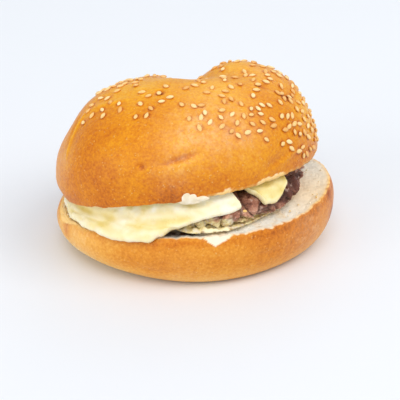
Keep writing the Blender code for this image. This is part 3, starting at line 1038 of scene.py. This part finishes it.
seeds = {
    "rounds": (  # how many, how far apart, and how full the left and the back are, beside the right
        (160, 0.0034, 0.5, 0.2),  # those of the solid
        (165, 0.0026, 0.80, 0.9),  # strewn between them
    ),
    "length": 0.0030,
    "width": 0.00175,
    "thickness": 0.0012,
    "rise": 0.00020,  # of a seed's middle over the crust
    "spread": Vector((0.16, 0.72, 1.0)),
    "limit": 0.0375,
    "lowest": 0.036,
    "leftEnd": -0.044,
    "sizes": (0.86, 1.08),
    "bend": 0.2,
    "tilt": 0.25,
    "hullStops": ((0.2, (232, 172, 92)), (0.5, (244, 200, 126)), (0.8, (252, 224, 164))),
    "tipColour": (206, 138, 62),
    "random": 11,
    "segments": 12,
    "rings": 9,
}


def strewnSeeds():
    # The same draw as in the solid, then the extra seeds between
    draw = random.Random(seeds["random"])
    places = []
    for count, spacing, left, back in seeds["rounds"]:
        wanted = len(places) + count
        while len(places) < wanted:
            angle, share = draw.uniform(-math.pi, math.pi), 1 - 0.72 * math.sqrt(draw.random())
            spin, chance = draw.uniform(0, 2 * math.pi), draw.random()
            point = crownForm(angle, share)
            crowding = left + (1 - left) * smooth(-0.01, 0.03, point.x)
            crowding *= 1 - (1 - back) * smooth(0.005, 0.035, point.y)
            if point.dot(seeds["spread"]) < seeds["limit"] or point.z < seeds["lowest"] or chance > crowding:
                continue
            if any((point - place.translation).length < spacing for place in places):
                continue
            normal = crownNormal(angle, share)
            turn = normal.to_track_quat("Z", "Y").to_matrix().to_4x4() @ Matrix.Rotation(spin, 4, "Z")
            places.append(Matrix.Translation(point + normal * seeds["rise"]) @ turn)
    kept = [place for place in places if place.translation.x > seeds["leftEnd"]]
    return [Matrix.Translation(burger["centring"]) @ place for place in kept]


def treeOf(places):
    tree = kdtree.KDTree(len(places))
    for index, place in enumerate(places):
        tree.insert(place.translation, index)
    tree.balance()
    return tree


def ballMesh(ball):
    data = bpy.data.meshes.new("draft")
    ball.to_mesh(data)
    ball.free()
    return [vert.co.copy() for vert in data.vertices], [tuple(face.vertices) for face in data.polygons]


def makeSeeds(places):
    draw = random.Random(seeds["random"] + 1)
    ball = bmesh.new()
    bmesh.ops.create_uvsphere(ball, u_segments=seeds["segments"], v_segments=seeds["rings"], radius=0.5)
    ballPoints, ballFaces = ballMesh(ball)
    points, faces, looks = [], [], []
    for place in places:
        faces += [tuple(len(points) + corner for corner in face) for face in ballFaces]
        size, shade = draw.uniform(*seeds["sizes"]), draw.random()
        bend = draw.uniform(-seeds["bend"], seeds["bend"])
        turned = place @ Matrix.Rotation(draw.uniform(-seeds["tilt"], seeds["tilt"]), 4, "Y")
        for x, y, z in (corner.zyx for corner in ballPoints):
            taper = 1 - 0.8 * max(0.0, x) - 0.15 * max(0.0, -x)
            y = (y * taper + bend * x * x) * seeds["width"]
            points.append(turned @ (Vector((x * seeds["length"], y, z * taper * seeds["thickness"])) * size))
            looks.append({"tone": shade, "tip": max(0.0, 2 * x)})
    return pieceFrom("sesameSeeds", points, faces, looks)


# Crumbs and lumps of cream

crumbs = {
    "random": 5,
    "right": (22, math.radians(-38), math.radians(38)),  # how many, and between which angles
    "left": (26, math.radians(186), math.radians(222)),
    "sizes": (0.0003, 0.0009),
    "fleck": vectorPairs((19, -43.2, 33, 0.8, 0.4, 0.5)),  # middle and half sizes, on the patty
    "paleColour": (250, 236, 206),
    "warmColour": (242, 200, 120),
}

cream = {
    "lumps": vectorPairs(  # middle and half sizes
        (-3, -46, 40.2, 2.3, 1.2, 3.1),
        (-1.2, -45.9, 39.8, 2.8, 1.2, 2.4),
        (2.2, -45.7, 39.7, 3.6, 0.9, 1.1),
        (-1.8, -45.7, 38.6, 4.6, 1.2, 1.4),
    ),
    "rough": 0.12,
    "stops": ((0.3, (226, 208, 170)), (0.5, (238, 224, 196)), (0.7, (248, 238, 218))),
}


def lumpyBalls(name, balls, detail, rough):
    ball = bmesh.new()
    bmesh.ops.create_icosphere(ball, subdivisions=detail, radius=1)
    ballPoints, ballFaces = ballMesh(ball)
    points, faces = [], []
    for middle, size in balls:
        faces += [tuple(len(points) + corner for corner in face) for face in ballFaces]
        apart = middle * 3000  # so that no two lumps are alike
        for way in ballPoints:
            swell = 1 + rough * (noise.noise(way * 1.2 + apart) + 0.3 * noise.noise(way * 3.5 + apart))
            points.append(middle + way * size * swell + burger["centring"])
    looks = [{"tone": 0.5 + grain(point, (500, 0.5))} for point in points]
    return pieceFrom(name, points, faces, looks)


def makeCrumbs():
    draw = random.Random(crumbs["random"])
    balls = list(crumbs["fleck"])
    for count, low, high in (crumbs["right"], crumbs["left"]):
        for _ in range(count):
            angle = draw.uniform(low, high)
            rim = heelRim(angle)[0]
            inner = pattyReach(angle) + 0.001 if low < 1 else rim - 0.003
            size = draw.uniform(*crumbs["sizes"])
            x, y = polar(draw.uniform(inner, rim - 0.0008), angle)
            z = heelCut(x, y) - heel["crumbDip"] + 0.2 * size
            balls.append((Vector((x, y, z)), Vector((1, 1, 0.8)) * size * 0.5))
    return lumpyBalls("crumbs", balls, 2, 0.5)


# Materials of the filling

def cheeseMaterial():
    material, tree, shader = newMaterial("meltedCheese", 0.30, 0.4)
    space = objectSpace(tree)
    tone = blend(tree, (attribute(tree, "tone"), 0.55), (noiseNode(tree, space, 85, 3.0, 0.55), 0.45))
    patches = mapRange(tree, noiseNode(tree, space, 150, 3.0, 0.5), 0.4, 0.6, 0.4, 1.0)
    milky = calc(tree, "MULTIPLY", attribute(tree, "milky"), patches)
    colour = mixColours(tree, milky, ramp(tree, tone, cheese["stops"]), cheese["milkColour"])
    # painted olive shadow under the crown's edge
    colour = mixColours(tree, attribute(tree, "paintedShadow"), colour, cheese["paintedShadowColour"])
    shader.inputs["Subsurface Weight"].default_value = 0.2
    shader.inputs["Subsurface Radius"].default_value = (1.0, 0.8, 0.4)
    shader.inputs["Subsurface Scale"].default_value = 0.0015
    gloss = mapRange(tree, noiseNode(tree, space, 300, 2.0), 0.3, 0.7, 0.24, 0.42)
    tree.links.new(gloss, shader.inputs["Roughness"])
    paint(tree, shader, colour, noiseNode(tree, space, 230, 4.0, 0.55), 0.0004, 0.7)
    return material


def creamMaterial():
    material, tree, shader = newMaterial("paleCream", 0.35, 0.4)
    space = objectSpace(tree)
    tone = blend(tree, (attribute(tree, "tone"), 0.5), (noiseNode(tree, space, 400, 3.0, 0.55), 0.5))
    paint(tree, shader, ramp(tree, tone, cream["stops"]), noiseNode(tree, space, 500, 3.0, 0.5), 0.0003, 0.6)
    return material


def pattyMaterial():
    material, tree, shader = newMaterial("friedMince", 0.42, 0.38)
    space = objectSpace(tree)
    fine, wide = noiseNode(tree, space, 760, 4.0, 0.65), noiseNode(tree, space, 130, 3.0, 0.5)
    tone = blend(tree, (attribute(tree, "tone"), 0.35), (fine, 0.4), (wide, 0.25))
    # painted shade: darker in the cracks between the lumps
    cracks = calc(tree, "MULTIPLY", attribute(tree, "crack"), 0.75)
    meat = mixColours(tree, cracks, ramp(tree, tone, patty["meatStops"]), patty["crackShadowColour"])
    fat = mapRange(tree, noiseNode(tree, space, 380, 2.0, 0.5), 0.60, 0.68, 0.0, 0.6)
    meat = mixColours(tree, fat, meat, patty["fatColour"])
    patchy = blend(tree, (attribute(tree, "smear"), 1.0), (noiseNode(tree, space, 300, 3.0, 0.6), 1.1))
    colour = mixColours(tree, mapRange(tree, patchy, 0.86, 1.20), meat, smearColour(tree, space))
    tree.links.new(mapRange(tree, fine, 0.35, 0.65, 0.25, 0.6), shader.inputs["Roughness"])
    paint(tree, shader, colour, fine, 0.0011, 0.9)
    return material


def smearColour(tree, space):
    # Cream with milky and meaty patches
    milk = mapRange(tree, noiseNode(tree, space, 480, 2.0), 0.52, 0.62, 0.0, 0.7)
    meat = mapRange(tree, noiseNode(tree, space, 390, 3.0), 0.56, 0.66, 0.0, 0.6)
    smear = ramp(tree, noiseNode(tree, space, 330, 3.0, 0.6), sauce["smearStops"])
    return mixColours(tree, meat, mixColours(tree, milk, smear, sauce["milkColour"]), sauce["meatColour"])


def sauceMaterial():
    material, tree, shader = newMaterial("paleSauce", 0.32, 0.45)
    space = objectSpace(tree)
    colour = mixColours(tree, attribute(tree, "drip"), smearColour(tree, space), sauce["dripColour"])
    paint(tree, shader, colour, noiseNode(tree, space, 480, 4.0, 0.6), 0.0004, 0.8)
    return material


def seedMaterial():
    material, tree, shader = newMaterial("sesameHull", 0.42, 0.45)
    space = objectSpace(tree)
    fine = noiseNode(tree, space, 1500, 2.0, 0.5)
    tone = blend(tree, (attribute(tree, "tone"), 0.6), (fine, 0.4))
    tip = mapRange(tree, attribute(tree, "tip"), 0.5, 1.0, 0.0, 0.55)
    colour = mixColours(tree, tip, ramp(tree, tone, seeds["hullStops"]), seeds["tipColour"])
    paint(tree, shader, colour, fine, 0.0001, 0.4)
    return material


def crumbMaterial(crumb):
    material, tree, shader = newMaterial("looseCrumb", 0.8, 0.3)
    out = useGroup(tree, crumb, 1.3)
    warm = mapRange(tree, out["Tint"], 0.4, 0.6)
    colour = mixColours(tree, warm, crumbs["paleColour"], crumbs["warmColour"])
    paint(tree, shader, colour, out["Height"], 0.0003, 0.6)
    return material


# Putting the pieces on the frame

def dress(piece, material, slot, *nodes):
    piece.data.materials.clear()
    piece.data.materials.append(material)
    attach(piece, "root")
    if nodes:
        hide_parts(*nodes)
    print("made", piece.name)


def makeLayer(name, layer, place):
    return solidFromRings(name, layer["segments"], ringShares(*layer["rings"]), place)


def makeBurger():
    skin, crumb = bakedSkinGroup(), breadCrumbGroup()
    places = strewnSeeds()
    tree = treeOf(places)
    heelLooks = breadMaterial("heelBread", skin, crumb, 1.0, bread["heelStops"])
    dress(makeLayer("heelBread", heel, heelPoint), heelLooks, "heel_crust", "heel")
    crownLooks = breadMaterial("crownBread", skin, crumb, 1.1, bread["crownStops"])
    crownPiece = makeLayer("crownBread", crown, lambda angle, share: crownPoint(angle, share, tree))
    dress(crownPiece, crownLooks, "crown_crust", "crown")
    dress(makeSeeds(places), seedMaterial(), "crown_crust")
    noise.seed_set(patty["random"])  # for the wander of its lumps
    dress(makeLayer("mincePatty", patty, pattyPoint), pattyMaterial(), "fried_mince", "patty")
    dress(makeLayer("cheeseSlice", cheese, cheesePoint), cheeseMaterial(), "melted_cheese", "cheese")
    dress(makeLayer("sauceSmear", sauce, saucePoint), sauceMaterial(), "pale_sauce", "sauce")
    dress(makeCrumbs(), crumbMaterial(crumb), "heel_crust")
    dress(lumpyBalls("creamLumps", cream["lumps"], 5, cream["rough"]), creamMaterial(), "melted_cheese")


# Floor, light and camera

studio = {
    "floorColour": (233, 236, 241),
    "floorSize": 3.0,
    "worldColour": (0.95, 0.975, 1.0),
    "worldStrength": 0.64,
    "lights": (  # name, power, place and size
        ("key", 33.0, Vector((-0.1, -1.8, 3.0)), 2.0),
        ("right", 22.0, Vector((1.50, -0.70, 1.90)), 1.6),
        ("left", 17.0, Vector((-1.95, -1.45, 0.80)), 1.6),
        ("back", 4.5, Vector((0.60, 1.90, 1.50)), 1.6),
    ),
    "elevation": math.radians(28),
    "distance": 0.5,
    "lens": 109.76,
    "target": Vector((0.0018, 0.0002, 0.0149)),
}


def makeStudio():
    bpy.ops.mesh.primitive_plane_add(size=studio["floorSize"])
    floor = bpy.context.object
    floor.name = "floor"
    material, tree, shader = newMaterial("paleFloor", 0.6, 0.2)
    darker = tuple(part - 2 for part in studio["floorColour"])
    soft = mixColours(tree, noiseNode(tree, objectSpace(tree), 3, 1.0), studio["floorColour"], darker)
    tree.links.new(soft, shader.inputs["Base Color"])
    floor.data.materials.append(material)

    world = bpy.data.worlds.new("softBox")
    world.use_nodes = True
    sky = world.node_tree.nodes["Background"]
    sky.inputs["Color"].default_value = (*studio["worldColour"], 1)
    sky.inputs["Strength"].default_value = studio["worldStrength"]
    bpy.context.scene.world = world

    for name, power, place, size in studio["lights"]:
        lamp = bpy.data.objects.new(name, bpy.data.lights.new(name, "AREA"))
        lamp.data.energy = power
        lamp.data.size = size
        lamp.location = place
        lamp.rotation_euler = (studio["target"] - place).to_track_quat("-Z", "Y").to_euler()
        bpy.context.scene.collection.objects.link(lamp)


def makeCamera():
    camera = bpy.data.objects.new("camera", bpy.data.cameras.new("camera"))
    back = Vector((0, -math.cos(studio["elevation"]), math.sin(studio["elevation"])))
    camera.location = studio["target"] + back * studio["distance"]
    camera.rotation_euler = (-back).to_track_quat("-Z", "Y").to_euler()
    camera.data.lens = studio["lens"]
    camera.data.clip_start = 0.01
    bpy.context.scene.collection.objects.link(camera)
    bpy.context.scene.camera = camera


bpy.context.scene.view_settings.view_transform = "Standard"
makeBurger()
makeStudio()
makeCamera()
print("floor, light and camera set")
